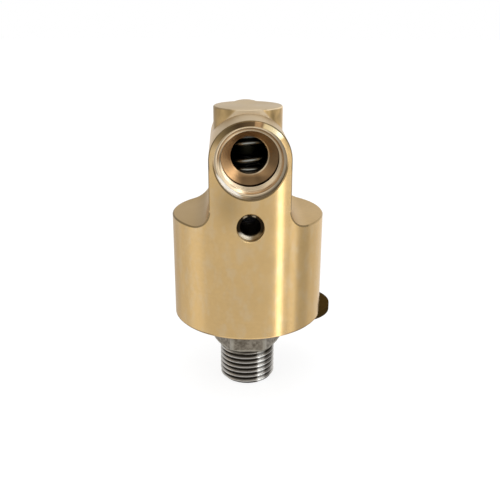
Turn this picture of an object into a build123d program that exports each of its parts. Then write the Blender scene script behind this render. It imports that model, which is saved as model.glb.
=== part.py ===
from build123d import *
import math
import os

# Hydraulic rotary union: a brass housing stands still and feeds a turning stainless rotor.
# Millimetres. +Z runs up the rotor axis and the origin is on that axis at the underside of the
# rotor's hexagon, where the union seats when its thread is screwed home. -Y is the inlet side.

os.makedirs("parts", exist_ok=True)

# Rotor, outside
thread_diameter = 16.0
thread_length = 11.2
thread_end_chamfer = 0.9
hex_across_flats = 17.0
hex_height = 8.0
hex_corner_cut = 1.0
fluid_bore = 9.0
fluid_bore_chamfer = 0.5

# Rotor, inside the housing
journal_diameter = 15.0
collar_diameter = 18.0
seal_head_chamfer = 0.4

# Housing
hex_to_housing = 2.0
housing_diameter = 42.0
shoulder_height = 30.0
tongue_width = 21.0
tongue_fillet = 5.0
stub_diameter = 18.6
stub_above_arch = 0.95
housing_edge_chamfer = 0.5
edge_break = 0.3

# Inlet port, bored to the outer diameter of its 3/8 parallel pipe thread
port_axis_height = 47.75
port_core_diameter = 14.95
port_thread_outer = 16.66
port_seat_diameter = 18.2
port_seat_depth = 2.6
port_thread_depth = 9.0
port_point_half_angle = 59.0
port_throat_diameter = 9.8

# Leak drain, with a counterbore for a sealing washer
drain_height = 31.2
drain_diameter = 5.4
drain_seat_diameter = 7.2
drain_seat_depth = 1.8

# Ball bearings, 15 x 28 x 7, with the balls midway between bore and outside
bearing_outer = 28.0
bearing_width = 7.0
ball_diameter = 3.5
ball_count = 11
shoulder_offset = 1.2
groove_ratio = 0.52
race_edge_chamfer = 0.3
cage_base = 2.4
cage_claw = 1.0
bearing_shield_thickness = 0.4
bearing_shield_recess = 0.6
bearing_shield_step = 0.55
bearing_spacing = 4.0
spacer_wall = 1.4

# Retention at the bottom and the preload at the top
housing_clip_depth = 1.0
housing_clip_thickness = 1.2
housing_clip_groove = 0.7
housing_clip_width = 2.0
housing_clip_gap = 4.0
housing_clip_lug = 1.6
dust_shield_thickness = 0.8
dust_shield_lip = 0.5
dust_shield_rim = 1.4
rotor_clip_thickness = 1.0
rotor_clip_groove = 0.35
rotor_clip_width = 1.9
rotor_clip_gap = 2.8
rotor_clip_lug = 1.4
clip_taper = 0.3
preload_spring_thickness = 0.5
preload_spring_height = 0.9
preload_spring_bore = 22.4

# Chambers above the bearings
relief_diameter = 22.0
relief_height = 4.6
leak_chamber_diameter = 17.0
leak_chamber_height = 9.0
spring_chamber_diameter = 16.0
spring_chamber_height = 18.0
housing_roof_chamfer = 0.6

# Face seal
seal_ring_diameter = 13.1
seal_pocket_depth = 3.0
rotor_head_height = 6.7
rotating_ring_proud = 1.4
rotating_ring_rebate_height = 1.5
rotating_ring_foot = 10.4
stationary_ring_diameter = 13.0
stationary_ring_height = 3.4
seal_bore = 9.4
seal_nose_height = 0.8
seal_nose_inner = 10.0
seal_nose_outer = 12.2

# Floating seal carrier
carrier_nose_overhang = 1.2
carrier_nose_diameter = 15.6
carrier_shoulder_height = 4.8
piston_length = 5.5
piston_groove_offset = 1.6
piston_groove_width = 3.0
piston_groove_diameter = 12.6
piston_oring_section = 1.62
backup_ring_thickness = 1.2
spigot_diameter = 10.6
spigot_height = 1.5
pin_diameter = 2.0
pin_length = 6.0
pin_reach = 1.6
pin_slot_width = 2.3
pin_slot_top_clearance = 0.3
pin_below_slot_top = 1.0

# Seal spring, right hand, closed and ground ends
wire_diameter = 1.5
spring_mean_diameter = 12.7
closed_pitch = 1.6
closed_turns_bottom = 1.4
closed_turns_top = 1.7
open_turns = 1.5
ground_share = 0.3
turns_to_front = 0.69
spring_points_per_turn = 12

# Torque tab under the housing
tab_thickness = 2.0
tab_end_radius = 11.2
tab_reach = 4.8
tab_azimuth = 20.8
tab_bore_margin = 0.6
tab_screw_angle = 16.0
tab_screw_diameter = 2.5
tab_screw_length = 8.0
tab_screw_head_diameter = 4.7
tab_screw_head_height = 1.5
tab_screw_socket = 1.5
tab_screw_socket_depth = 0.9
tab_screw_head_round = 0.9

# Clearances
seat_clearance = 0.01
ball_clearance = 0.02
running_clearance = 0.05
clip_clearance = 0.1
cage_clearance = 0.1
cage_race_gap = 0.45
shield_running_gap = 0.2
collar_gap = 0.3
ring_clearance = 0.05

# Heights along the axis, from the hexagon's underside
housing_bottom = hex_height + hex_to_housing
shoulder_floor = housing_bottom + shoulder_height
port_axis_z = housing_bottom + port_axis_height
drain_axis_z = housing_bottom + drain_height
arch_top = port_axis_z + tongue_width / 2
stub_top = arch_top + stub_above_arch
housing_clip_z = housing_bottom + housing_clip_depth
dust_shield_z = housing_clip_z + housing_clip_thickness
lower_bearing_z = dust_shield_z + dust_shield_thickness
spacer_z = lower_bearing_z + bearing_width
upper_bearing_z = spacer_z + bearing_spacing
bearing_top = upper_bearing_z + bearing_width
bore_shoulder_z = bearing_top + preload_spring_height
relief_top = bore_shoulder_z + relief_height
leak_chamber_top = relief_top + leak_chamber_height
chamber_roof = leak_chamber_top + spring_chamber_height
rotor_top = bore_shoulder_z + rotor_head_height
pocket_floor = rotor_top - seal_pocket_depth
seal_face_z = rotor_top + rotating_ring_proud
stationary_ring_top = seal_face_z + stationary_ring_height
carrier_bottom = seal_face_z + carrier_nose_overhang
piston_bottom = carrier_bottom + carrier_shoulder_height
piston_top = piston_bottom + piston_length
piston_groove_z = piston_bottom + piston_groove_offset
pin_slot_top = stationary_ring_top + pin_slot_top_clearance
pin_z = pin_slot_top - pin_below_slot_top - pin_slot_top_clearance

# Radii
housing_r = housing_diameter / 2
journal_r = journal_diameter / 2
bearing_r = bearing_outer / 2
bore_r = fluid_bore / 2
thread_r = thread_diameter / 2
collar_r = collar_diameter / 2
leak_chamber_r = leak_chamber_diameter / 2
spring_chamber_r = spring_chamber_diameter / 2
seal_pocket_r = seal_ring_diameter / 2 + ring_clearance
ball_r = ball_diameter / 2
ball_circle_r = (journal_r + bearing_r) / 2
inner_shoulder_r = ball_circle_r - shoulder_offset
outer_shoulder_r = ball_circle_r + shoulder_offset
cage_half_wall = shoulder_offset - cage_race_gap
groove_r = groove_ratio * ball_diameter
inner_groove_centre = ball_circle_r - ball_r - ball_clearance + groove_r
outer_groove_centre = ball_circle_r + ball_r + ball_clearance - groove_r
shield_seat_r = outer_shoulder_r + bearing_shield_step
spacer_inner_r = journal_r + spacer_wall
spacer_outer_r = bearing_r - spacer_wall
clip_groove_r = bearing_r + housing_clip_groove

# Places of the torque tab's two screws, midway in the wall outside the circlip's groove
tab_screw_circle_r = (clip_groove_r + housing_r) / 2
tab_screw_places = []
for side in (-1, 1):
    screw_azimuth = math.radians(tab_azimuth + side * tab_screw_angle)
    screw_x = tab_screw_circle_r * math.cos(screw_azimuth)
    screw_y = tab_screw_circle_r * math.sin(screw_azimuth)
    tab_screw_places.append((screw_x, screw_y))
tab_bottom = housing_bottom - tab_thickness
tab_screw_hole_depth = tab_screw_length - tab_thickness + tab_screw_diameter / 2


def milled_rim(edge):
    """True for an edge that milling has left on the round bar's surface."""
    points = [edge.position_at(share) for share in (0, 0.5, 1)]
    innermost = min(math.hypot(point.X, point.Y) for point in points)
    return innermost > housing_r - seat_clearance and edge.center().Z > shoulder_floor - edge_break


# Housing: round bar, two shoulders milled away to leave the arched tongue, turned stub on top
tongue_half = tongue_width / 2
with BuildPart() as housing:
    with BuildSketch(Plane.XY.offset(housing_bottom)):
        Circle(housing_r)
    extrude(amount=arch_top - housing_bottom)
    chamfer(
        housing.edges().filter_by(GeomType.CIRCLE).sort_by(Axis.Z)[0],
        length=housing_edge_chamfer,
    )
    with BuildSketch(Plane.XZ):
        with BuildLine():
            Line((-housing_r, housing_bottom), (housing_r, housing_bottom))
            Line((housing_r, housing_bottom), (housing_r, shoulder_floor))
            Line((housing_r, shoulder_floor), (tongue_half + tongue_fillet, shoulder_floor))
            RadiusArc(
                (tongue_half + tongue_fillet, shoulder_floor),
                (tongue_half, shoulder_floor + tongue_fillet),
                tongue_fillet,
            )
            Line((tongue_half, shoulder_floor + tongue_fillet), (tongue_half, port_axis_z))
            ThreePointArc((tongue_half, port_axis_z), (0, arch_top), (-tongue_half, port_axis_z))
            Line((-tongue_half, port_axis_z), (-tongue_half, shoulder_floor + tongue_fillet))
            RadiusArc(
                (-tongue_half, shoulder_floor + tongue_fillet),
                (-tongue_half - tongue_fillet, shoulder_floor),
                tongue_fillet,
            )
            Line((-tongue_half - tongue_fillet, shoulder_floor), (-housing_r, shoulder_floor))
            Line((-housing_r, shoulder_floor), (-housing_r, housing_bottom))
        make_face()
    extrude(amount=housing_r, both=True, mode=Mode.INTERSECT)
    chamfer(housing.edges().filter_by(milled_rim), length=edge_break)
    with BuildSketch(Plane.XY.offset(shoulder_floor)):
        Circle(stub_diameter / 2)
    extrude(amount=stub_top - shoulder_floor)
    chamfer(
        housing.edges().filter_by(GeomType.CIRCLE).sort_by(Axis.Z)[-1],
        length=housing_edge_chamfer / 2,
    )
    # Stepped bore from below: bearings with clip groove, relief, leak chamber, spring chamber
    with BuildSketch(Plane.XZ):
        with BuildLine():
            Polyline(
                (0, housing_bottom),
                (bearing_r + housing_edge_chamfer, housing_bottom),
                (bearing_r, housing_bottom + housing_edge_chamfer),
                (bearing_r, housing_clip_z),
                (clip_groove_r, housing_clip_z),
                (clip_groove_r, dust_shield_z + clip_clearance),
                (bearing_r, dust_shield_z + clip_clearance),
                (bearing_r, bore_shoulder_z),
                (relief_diameter / 2, bore_shoulder_z),
                (relief_diameter / 2, relief_top),
                (leak_chamber_r, relief_top),
                (leak_chamber_r, leak_chamber_top),
                (spring_chamber_r, leak_chamber_top),
                (spring_chamber_r, chamber_roof - housing_roof_chamfer),
                (spring_chamber_r - housing_roof_chamfer, chamber_roof),
                (0, chamber_roof),
                close=True,
            )
        make_face()
    revolve(axis=Axis.Z, mode=Mode.SUBTRACT)
    # Inlet: round seat for a sealing washer, thread, drill point, throat into the chamber
    port_thread_r = port_thread_outer / 2
    port_core_r = port_core_diameter / 2
    port_throat_r = port_throat_diameter / 2
    port_seat_y = -housing_r + port_seat_depth
    port_core_y = -housing_r + port_thread_depth
    port_point_length = (port_core_r - port_throat_r) / math.tan(
        math.radians(port_point_half_angle)
    )
    with BuildSketch(Plane.YZ):
        with BuildLine():
            Polyline(
                (-housing_r - port_seat_depth, port_axis_z),
                (-housing_r - port_seat_depth, port_axis_z + port_seat_diameter / 2),
                (port_seat_y, port_axis_z + port_seat_diameter / 2),
                (port_seat_y, port_axis_z + port_thread_r),
                (port_core_y, port_axis_z + port_thread_r),
                (port_core_y, port_axis_z + port_core_r),
                (port_core_y + port_point_length, port_axis_z + port_throat_r),
                (0, port_axis_z + port_throat_r),
                (0, port_axis_z),
                close=True,
            )
        make_face()
    revolve(axis=Axis((0, 0, port_axis_z), (0, 1, 0)), mode=Mode.SUBTRACT)
    # Drain: counterbored, through the front wall into the leak chamber
    drain_r = drain_diameter / 2
    drain_seat_r = drain_seat_diameter / 2
    with BuildSketch(Plane.YZ):
        with BuildLine():
            Polyline(
                (-housing_r - edge_break, drain_axis_z),
                (-housing_r - edge_break, drain_axis_z + drain_seat_r + 2 * edge_break),
                (-housing_r + edge_break, drain_axis_z + drain_seat_r),
                (-housing_r + drain_seat_depth, drain_axis_z + drain_seat_r),
                (-housing_r + drain_seat_depth, drain_axis_z + drain_r),
                (0, drain_axis_z + drain_r),
                (0, drain_axis_z),
                close=True,
            )
        make_face()
    revolve(axis=Axis((0, 0, drain_axis_z), (0, 1, 0)), mode=Mode.SUBTRACT)
    # Blind hole in the far wall for the anti-rotation pin
    pin_inner_y = leak_chamber_r - pin_reach
    with BuildSketch(Plane.XZ.offset(-pin_inner_y)):
        with Locations((0, pin_z)):
            Circle(pin_diameter / 2 + seat_clearance)
    extrude(amount=-pin_length, mode=Mode.SUBTRACT)
    # Tapped holes for the torque tab
    with BuildSketch(Plane.XY.offset(housing_bottom)):
        with Locations(*tab_screw_places):
            Circle(tab_screw_diameter / 2 + seat_clearance)
    extrude(amount=tab_screw_hole_depth, mode=Mode.SUBTRACT)
housing.part.label = "housing"
export_step(housing.part, "parts/housing.step")

# Rotor: threaded tail, hexagon, collar, journal and seal head with its pocket
with BuildPart() as rotor:
    with BuildSketch(Plane.XY):
        RegularPolygon(hex_across_flats / 2, 6, major_radius=False)
    extrude(amount=hex_height)
    hex_corner_r = hex_across_flats / math.sqrt(3)
    hex_corner_drop = hex_corner_cut * math.tan(math.radians(30))
    with BuildSketch(Plane.XZ):
        with BuildLine():
            Polyline(
                (0, 0),
                (hex_corner_r - hex_corner_cut, 0),
                (hex_corner_r, hex_corner_drop),
                (hex_corner_r, hex_height - hex_corner_drop),
                (hex_corner_r - hex_corner_cut, hex_height),
                (0, hex_height),
                close=True,
            )
        make_face()
    revolve(axis=Axis.Z, mode=Mode.INTERSECT)
    with BuildSketch(Plane.XZ):
        with BuildLine():
            Polyline(
                (0, -thread_length),
                (thread_r - thread_end_chamfer, -thread_length),
                (thread_r, -thread_length + thread_end_chamfer),
                (thread_r, hex_height / 2),
                (collar_r, hex_height / 2),
                (collar_r, lower_bearing_z),
                (journal_r, lower_bearing_z),
                (journal_r, bearing_top),
                (journal_r - rotor_clip_groove, bearing_top),
                (journal_r - rotor_clip_groove, bearing_top + rotor_clip_thickness + clip_clearance),
                (journal_r, bearing_top + rotor_clip_thickness + clip_clearance),
                (journal_r, rotor_top - seal_head_chamfer),
                (journal_r - seal_head_chamfer, rotor_top),
                (0, rotor_top),
                close=True,
            )
        make_face()
    revolve(axis=Axis.Z)
    with BuildSketch(Plane.XY.offset(-thread_length)):
        Circle(bore_r)
    extrude(amount=thread_length + rotor_top, mode=Mode.SUBTRACT)
    chamfer(
        rotor.edges().filter_by(GeomType.CIRCLE).group_by(Axis.Z)[0].sort_by(SortBy.RADIUS)[0],
        length=fluid_bore_chamfer,
    )
    with BuildSketch(Plane.XY.offset(pocket_floor)):
        Circle(seal_pocket_r)
    extrude(amount=seal_pocket_depth, mode=Mode.SUBTRACT)
rotor.part.label = "rotor"
export_step(rotor.part, "parts/rotor.step")

# Two ball bearings: races, crown cage, balls and the pair of shields that each one carries
for place, base in (("lower", lower_bearing_z), ("upper", upper_bearing_z)):
    ball_z = base + bearing_width / 2
    with BuildPart() as inner_race:
        with BuildSketch(Plane.XZ):
            with BuildLine():
                Polyline(
                    (journal_r + seat_clearance, base + race_edge_chamfer),
                    (journal_r + seat_clearance + race_edge_chamfer, base),
                    (inner_shoulder_r, base),
                    (inner_shoulder_r, base + bearing_width),
                    (journal_r + seat_clearance + race_edge_chamfer, base + bearing_width),
                    (journal_r + seat_clearance, base + bearing_width - race_edge_chamfer),
                    close=True,
                )
            make_face()
            with Locations((inner_groove_centre, ball_z)):
                Circle(groove_r, mode=Mode.SUBTRACT)
        revolve(axis=Axis.Z)
    inner_race.part.label = f"{place}_inner_race"
    export_step(inner_race.part, f"parts/{place}_inner_race.step")

    with BuildPart() as outer_race:
        with BuildSketch(Plane.XZ):
            with BuildLine():
                Polyline(
                    (shield_seat_r, base),
                    (bearing_r - seat_clearance - race_edge_chamfer, base),
                    (bearing_r - seat_clearance, base + race_edge_chamfer),
                    (bearing_r - seat_clearance, base + bearing_width - race_edge_chamfer),
                    (bearing_r - seat_clearance - race_edge_chamfer, base + bearing_width),
                    (shield_seat_r, base + bearing_width),
                    (shield_seat_r, base + bearing_width - bearing_shield_recess),
                    (outer_shoulder_r, base + bearing_width - bearing_shield_recess),
                    (outer_shoulder_r, base + bearing_shield_recess),
                    (shield_seat_r, base + bearing_shield_recess),
                    close=True,
                )
            make_face()
            with Locations((outer_groove_centre, ball_z)):
                Circle(groove_r, mode=Mode.SUBTRACT)
        revolve(axis=Axis.Z)
    outer_race.part.label = f"{place}_outer_race"
    export_step(outer_race.part, f"parts/{place}_outer_race.step")

    with BuildPart() as balls:
        with Locations((0, 0, ball_z)):
            with PolarLocations(ball_circle_r, ball_count):
                Sphere(ball_r)
    balls.part.label = f"{place}_balls"
    export_step(balls.part, f"parts/{place}_balls.step")

    with BuildPart() as ball_cage:
        with BuildSketch(Plane.XY.offset(ball_z - cage_base)):
            Circle(ball_circle_r + cage_half_wall)
            Circle(ball_circle_r - cage_half_wall, mode=Mode.SUBTRACT)
        extrude(amount=cage_base + cage_claw)
        with Locations((0, 0, ball_z)):
            with PolarLocations(ball_circle_r, ball_count):
                Sphere(ball_r + cage_clearance, mode=Mode.SUBTRACT)
    ball_cage.part.label = f"{place}_ball_cage"
    export_step(ball_cage.part, f"parts/{place}_ball_cage.step")

    with BuildPart() as shields:
        lower_shield_z = base + bearing_shield_recess - bearing_shield_thickness
        upper_shield_z = base + bearing_width - bearing_shield_recess
        for shield_z in (lower_shield_z, upper_shield_z):
            with BuildSketch(Plane.XY.offset(shield_z)):
                Circle(shield_seat_r)
                Circle(inner_shoulder_r + shield_running_gap, mode=Mode.SUBTRACT)
            extrude(amount=bearing_shield_thickness)
    shields.part.label = f"{place}_bearing_shields"
    export_step(shields.part, f"parts/{place}_bearing_shields.step")

# Spacers that hold the bearings apart
with BuildPart() as inner_spacer:
    with BuildSketch(Plane.XY.offset(spacer_z)):
        Circle(spacer_inner_r)
        Circle(journal_r + seat_clearance, mode=Mode.SUBTRACT)
    extrude(amount=bearing_spacing)
inner_spacer.part.label = "inner_spacer"
export_step(inner_spacer.part, "parts/inner_spacer.step")

with BuildPart() as outer_spacer:
    with BuildSketch(Plane.XY.offset(spacer_z)):
        Circle(bearing_r - seat_clearance)
        Circle(spacer_outer_r, mode=Mode.SUBTRACT)
    extrude(amount=bearing_spacing)
outer_spacer.part.label = "outer_spacer"
export_step(outer_spacer.part, "parts/outer_spacer.step")

# Conical preload spring: outer edge on the upper outer race, inner edge on the bore shoulder
with BuildPart() as preload_spring:
    with BuildSketch(Plane.XZ):
        with BuildLine():
            Polyline(
                (bearing_r - clip_clearance, bearing_top),
                (bearing_r - clip_clearance, bearing_top + preload_spring_thickness),
                (preload_spring_bore / 2, bore_shoulder_z),
                (preload_spring_bore / 2, bore_shoulder_z - preload_spring_thickness),
                close=True,
            )
        make_face()
    revolve(axis=Axis.Z)
preload_spring.part.label = "preload_spring"
export_step(preload_spring.part, "parts/preload_spring.step")

# Clip on the rotor above the upper bearing, open towards the drain's far side
rotor_clip_bore_r = journal_r - rotor_clip_groove + seat_clearance
rotor_clip_lug_x = rotor_clip_gap / 2 + rotor_clip_lug
rotor_clip_lug_y = math.sqrt(
    (rotor_clip_bore_r + rotor_clip_lug) ** 2 - rotor_clip_lug_x**2
)
with BuildPart() as rotor_clip:
    with BuildSketch(Plane.XY.offset(bearing_top)):
        with Locations((0, -clip_taper)):
            Circle(rotor_clip_bore_r + rotor_clip_width - clip_taper)
        with Locations((rotor_clip_lug_x, rotor_clip_lug_y), (-rotor_clip_lug_x, rotor_clip_lug_y)):
            Circle(rotor_clip_lug)
        Circle(rotor_clip_bore_r, mode=Mode.SUBTRACT)
        with Locations((0, rotor_clip_lug_y)):
            Rectangle(rotor_clip_gap, 2 * rotor_clip_lug_y, mode=Mode.SUBTRACT)
        with Locations((rotor_clip_lug_x, rotor_clip_lug_y), (-rotor_clip_lug_x, rotor_clip_lug_y)):
            Circle(rotor_clip_lug / 2, mode=Mode.SUBTRACT)
    extrude(amount=rotor_clip_thickness)
rotor_clip.part.label = "rotor_circlip"
export_step(rotor_clip.part, "parts/rotor_circlip.step")

# Clip in the housing's mouth, with its two lugs reaching inwards
housing_clip_r = clip_groove_r - running_clearance
housing_clip_lug_x = housing_clip_gap / 2 + housing_clip_lug
housing_clip_lug_y = -math.sqrt(
    (housing_clip_r - housing_clip_width) ** 2 - housing_clip_lug_x**2
)
housing_clip_gap_depth = housing_clip_width + 2 * housing_clip_lug
with BuildPart() as housing_clip:
    with BuildSketch(Plane.XY.offset(housing_clip_z)):
        Circle(housing_clip_r)
        with Locations((0, -clip_taper)):
            Circle(housing_clip_r - housing_clip_width, mode=Mode.SUBTRACT)
        with Locations((housing_clip_lug_x, housing_clip_lug_y), (-housing_clip_lug_x, housing_clip_lug_y)):
            Circle(housing_clip_lug)
        with Locations((0, -housing_clip_r)):
            Rectangle(housing_clip_gap, 2 * housing_clip_gap_depth, mode=Mode.SUBTRACT)
        with Locations((housing_clip_lug_x, housing_clip_lug_y), (-housing_clip_lug_x, housing_clip_lug_y)):
            Circle(housing_clip_lug / 2, mode=Mode.SUBTRACT)
    extrude(amount=housing_clip_thickness)
housing_clip.part.label = "housing_circlip"
export_step(housing_clip.part, "parts/housing_circlip.step")

# Dust shield between the clip and the lower outer race, dished clear of the inner race
with BuildPart() as dust_shield:
    with BuildSketch(Plane.XZ):
        with BuildLine():
            Polyline(
                (collar_r + collar_gap, dust_shield_z),
                (bearing_r - clip_clearance, dust_shield_z),
                (bearing_r - clip_clearance, lower_bearing_z),
                (bearing_r - dust_shield_rim, lower_bearing_z),
                (bearing_r - dust_shield_rim, dust_shield_z + dust_shield_lip),
                (collar_r + collar_gap, dust_shield_z + dust_shield_lip),
                close=True,
            )
        make_face()
    revolve(axis=Axis.Z)
dust_shield.part.label = "dust_shield"
export_step(dust_shield.part, "parts/dust_shield.step")

# Rotating seal ring, seated in the rotor's pocket on its static O-ring
rotating_ring_r = seal_ring_diameter / 2
with BuildPart() as rotating_ring:
    with BuildSketch(Plane.XZ):
        with BuildLine():
            Polyline(
                (seal_bore / 2, pocket_floor),
                (rotating_ring_foot / 2, pocket_floor),
                (rotating_ring_foot / 2, pocket_floor + rotating_ring_rebate_height),
                (rotating_ring_r, pocket_floor + rotating_ring_rebate_height),
                (rotating_ring_r, seal_face_z),
                (seal_bore / 2, seal_face_z),
                close=True,
            )
        make_face()
    revolve(axis=Axis.Z)
rotating_ring.part.label = "rotating_seal_ring"
export_step(rotating_ring.part, "parts/rotating_seal_ring.step")

ring_oring_r = (seal_pocket_r - rotating_ring_foot / 2) / 2
with BuildPart() as ring_oring:
    with BuildSketch(Plane.XZ):
        with Locations((rotating_ring_foot / 2 + ring_oring_r, pocket_floor + ring_oring_r)):
            Circle(ring_oring_r - seat_clearance)
    revolve(axis=Axis.Z)
ring_oring.part.label = "rotating_ring_oring"
export_step(ring_oring.part, "parts/rotating_ring_oring.step")

# Stationary carbon ring with a narrow running nose
with BuildPart() as stationary_ring:
    with BuildSketch(Plane.XZ):
        with BuildLine():
            Polyline(
                (seal_nose_inner / 2, seal_face_z),
                (seal_nose_outer / 2, seal_face_z),
                (seal_nose_outer / 2, seal_face_z + seal_nose_height),
                (stationary_ring_diameter / 2, seal_face_z + seal_nose_height),
                (stationary_ring_diameter / 2, stationary_ring_top),
                (seal_bore / 2, stationary_ring_top),
                (seal_bore / 2, seal_face_z + seal_nose_height),
                (seal_nose_inner / 2, seal_face_z + seal_nose_height),
                close=True,
            )
        make_face()
    revolve(axis=Axis.Z)
stationary_ring.part.label = "stationary_seal_ring"
export_step(stationary_ring.part, "parts/stationary_seal_ring.step")

# Floating carrier: nose with the carbon ring's pocket, piston with its groove, spring spigot
piston_r = spring_chamber_r - running_clearance
carrier_pocket_r = stationary_ring_diameter / 2 + ring_clearance
with BuildPart() as seal_carrier:
    with BuildSketch(Plane.XZ):
        with BuildLine():
            Polyline(
                (carrier_pocket_r, carrier_bottom),
                (carrier_nose_diameter / 2, carrier_bottom),
                (carrier_nose_diameter / 2, piston_bottom),
                (piston_r, piston_bottom),
                (piston_r, piston_groove_z),
                (piston_groove_diameter / 2, piston_groove_z),
                (piston_groove_diameter / 2, piston_groove_z + piston_groove_width),
                (piston_r, piston_groove_z + piston_groove_width),
                (piston_r, piston_top),
                (spigot_diameter / 2, piston_top),
                (spigot_diameter / 2, piston_top + spigot_height),
                (seal_bore / 2, piston_top + spigot_height),
                (seal_bore / 2, stationary_ring_top),
                (carrier_pocket_r, stationary_ring_top),
                close=True,
            )
        make_face()
    revolve(axis=Axis.Z)
    # Slot that rides over the anti-rotation pin, open downwards
    with BuildSketch(Plane.XZ):
        with Locations((0, (carrier_bottom + pin_slot_top) / 2)):
            Rectangle(pin_slot_width, pin_slot_top - carrier_bottom)
    extrude(amount=-spring_chamber_r, mode=Mode.SUBTRACT)
seal_carrier.part.label = "seal_carrier"
export_step(seal_carrier.part, "parts/seal_carrier.step")

with BuildPart() as backup_ring:
    with BuildSketch(Plane.XY.offset(piston_groove_z)):
        Circle(piston_r - seat_clearance)
        Circle(piston_groove_diameter / 2 + seat_clearance, mode=Mode.SUBTRACT)
    extrude(amount=backup_ring_thickness)
backup_ring.part.label = "piston_backup_ring"
export_step(backup_ring.part, "parts/piston_backup_ring.step")

piston_oring_z = piston_groove_z + backup_ring_thickness + piston_oring_section / 2 + ring_clearance
piston_oring_r = (piston_groove_diameter + piston_oring_section) / 2 + seat_clearance
with BuildPart() as piston_oring:
    with BuildSketch(Plane.XZ):
        with Locations((piston_oring_r, piston_oring_z)):
            Circle(piston_oring_section / 2)
    revolve(axis=Axis.Z)
piston_oring.part.label = "piston_oring"
export_step(piston_oring.part, "parts/piston_oring.step")

# Pin pressed into the far wall of the leak chamber
with BuildPart() as anti_rotation_pin:
    with BuildSketch(Plane.XZ.offset(-pin_inner_y)):
        with Locations((0, pin_z)):
            Circle(pin_diameter / 2)
    extrude(amount=-pin_length)
anti_rotation_pin.part.label = "anti_rotation_pin"
export_step(anti_rotation_pin.part, "parts/anti_rotation_pin.step")

# Seal spring: the wire's height climbs slowly in the closed ends and steeply between them
spring_start = piston_top + ground_share * wire_diameter
spring_end = chamber_roof - ground_share * wire_diameter
spring_turns = closed_turns_bottom + open_turns + closed_turns_top
closed_rise = closed_pitch * (closed_turns_bottom + closed_turns_top)
open_pitch = (spring_end - spring_start - closed_rise) / open_turns


def wire_height(turn):
    """Height of the wire's centre after so many turns."""
    opened = min(max(turn - closed_turns_bottom, 0), open_turns)
    return spring_start + closed_pitch * (turn - opened) + open_pitch * opened


wire_path = []
spring_steps = math.ceil(spring_turns * spring_points_per_turn)
for step in range(spring_steps + 1):
    turn = spring_turns * step / spring_steps
    angle = 2 * math.pi * (turn - turns_to_front) - math.pi / 2
    wire_x = spring_mean_diameter / 2 * math.cos(angle)
    wire_y = spring_mean_diameter / 2 * math.sin(angle)
    wire_path.append((wire_x, wire_y, wire_height(turn)))

with BuildPart() as seal_spring:
    with BuildLine() as wire_line:
        Spline(*wire_path)
    with BuildSketch(Plane(origin=wire_line.line @ 0, z_dir=wire_line.line % 0)):
        Circle(wire_diameter / 2)
    sweep()
    split(bisect_by=Plane.XY.offset(piston_top), keep=Keep.TOP)
    split(bisect_by=Plane.XY.offset(chamber_roof), keep=Keep.BOTTOM)
seal_spring.part.label = "seal_spring"
export_step(seal_spring.part, "parts/seal_spring.step")

# Torque tab: flat plate with a round end that stands out past the housing
tab_end_distance = housing_r + tab_reach - tab_end_radius
tab_centre_x = tab_end_distance * math.cos(math.radians(tab_azimuth))
tab_centre_y = tab_end_distance * math.sin(math.radians(tab_azimuth))
with BuildPart() as torque_tab:
    with BuildSketch(Plane.XY.offset(tab_bottom)):
        with Locations((tab_centre_x, tab_centre_y)):
            Circle(tab_end_radius)
        Circle(bearing_r + tab_bore_margin, mode=Mode.SUBTRACT)
        with Locations(*tab_screw_places):
            Circle(tab_screw_diameter / 2 + running_clearance, mode=Mode.SUBTRACT)
    extrude(amount=tab_thickness)
torque_tab.part.label = "torque_tab"
export_step(torque_tab.part, "parts/torque_tab.step")

with BuildPart() as tab_screws:
    with BuildSketch(Plane.XY.offset(tab_bottom)):
        with Locations(*tab_screw_places):
            Circle(tab_screw_head_diameter / 2)
    extrude(amount=-tab_screw_head_height)
    fillet(
        tab_screws.edges().filter_by(GeomType.CIRCLE).group_by(Axis.Z)[0],
        radius=tab_screw_head_round,
    )
    with BuildSketch(Plane.XY.offset(tab_bottom)):
        with Locations(*tab_screw_places):
            Circle(tab_screw_diameter / 2)
    extrude(amount=tab_screw_length)
    with BuildSketch(Plane.XY.offset(tab_bottom - tab_screw_head_height)):
        with Locations(*tab_screw_places):
            RegularPolygon(tab_screw_socket / 2, 6, major_radius=False)
    extrude(amount=tab_screw_socket_depth, mode=Mode.SUBTRACT)
tab_screws.part.label = "torque_tab_screws"
export_step(tab_screws.part, "parts/torque_tab_screws.step")
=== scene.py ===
"""Hydraulic rotary union: the looks of a brass housing with a turning stainless rotor.

The CAD nodes are the frame. This file adds the forms that are too fine for them, which are the
threads and the seal spring, and gives every piece its finish.
Lengths in constants and expressions are millimetres in the frame's own axes: Z runs up the rotor
and -Y points out of the inlet port. Meshes are in metres.
"""
import bmesh
import bpy
import math
from bpy.props import FloatProperty, FloatVectorProperty, IntProperty, PointerProperty
from mathutils import Matrix, Vector


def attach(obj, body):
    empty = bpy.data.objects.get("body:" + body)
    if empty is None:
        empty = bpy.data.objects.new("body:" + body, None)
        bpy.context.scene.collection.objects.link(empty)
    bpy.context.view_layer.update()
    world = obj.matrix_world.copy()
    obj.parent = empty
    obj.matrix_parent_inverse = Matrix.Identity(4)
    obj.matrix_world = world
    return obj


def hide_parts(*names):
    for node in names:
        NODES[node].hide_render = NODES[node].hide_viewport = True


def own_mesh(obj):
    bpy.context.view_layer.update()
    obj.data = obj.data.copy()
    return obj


bl_info = {
    "name": "Rotary Union",
    "version": (1, 0, 0),
    "blender": (4, 5, 0),
    "location": "View3D > Sidebar > Union",
    "description": "Threads, seal spring, finishes and stage of a hydraulic rotary union",
    "category": "Object",
}

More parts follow.
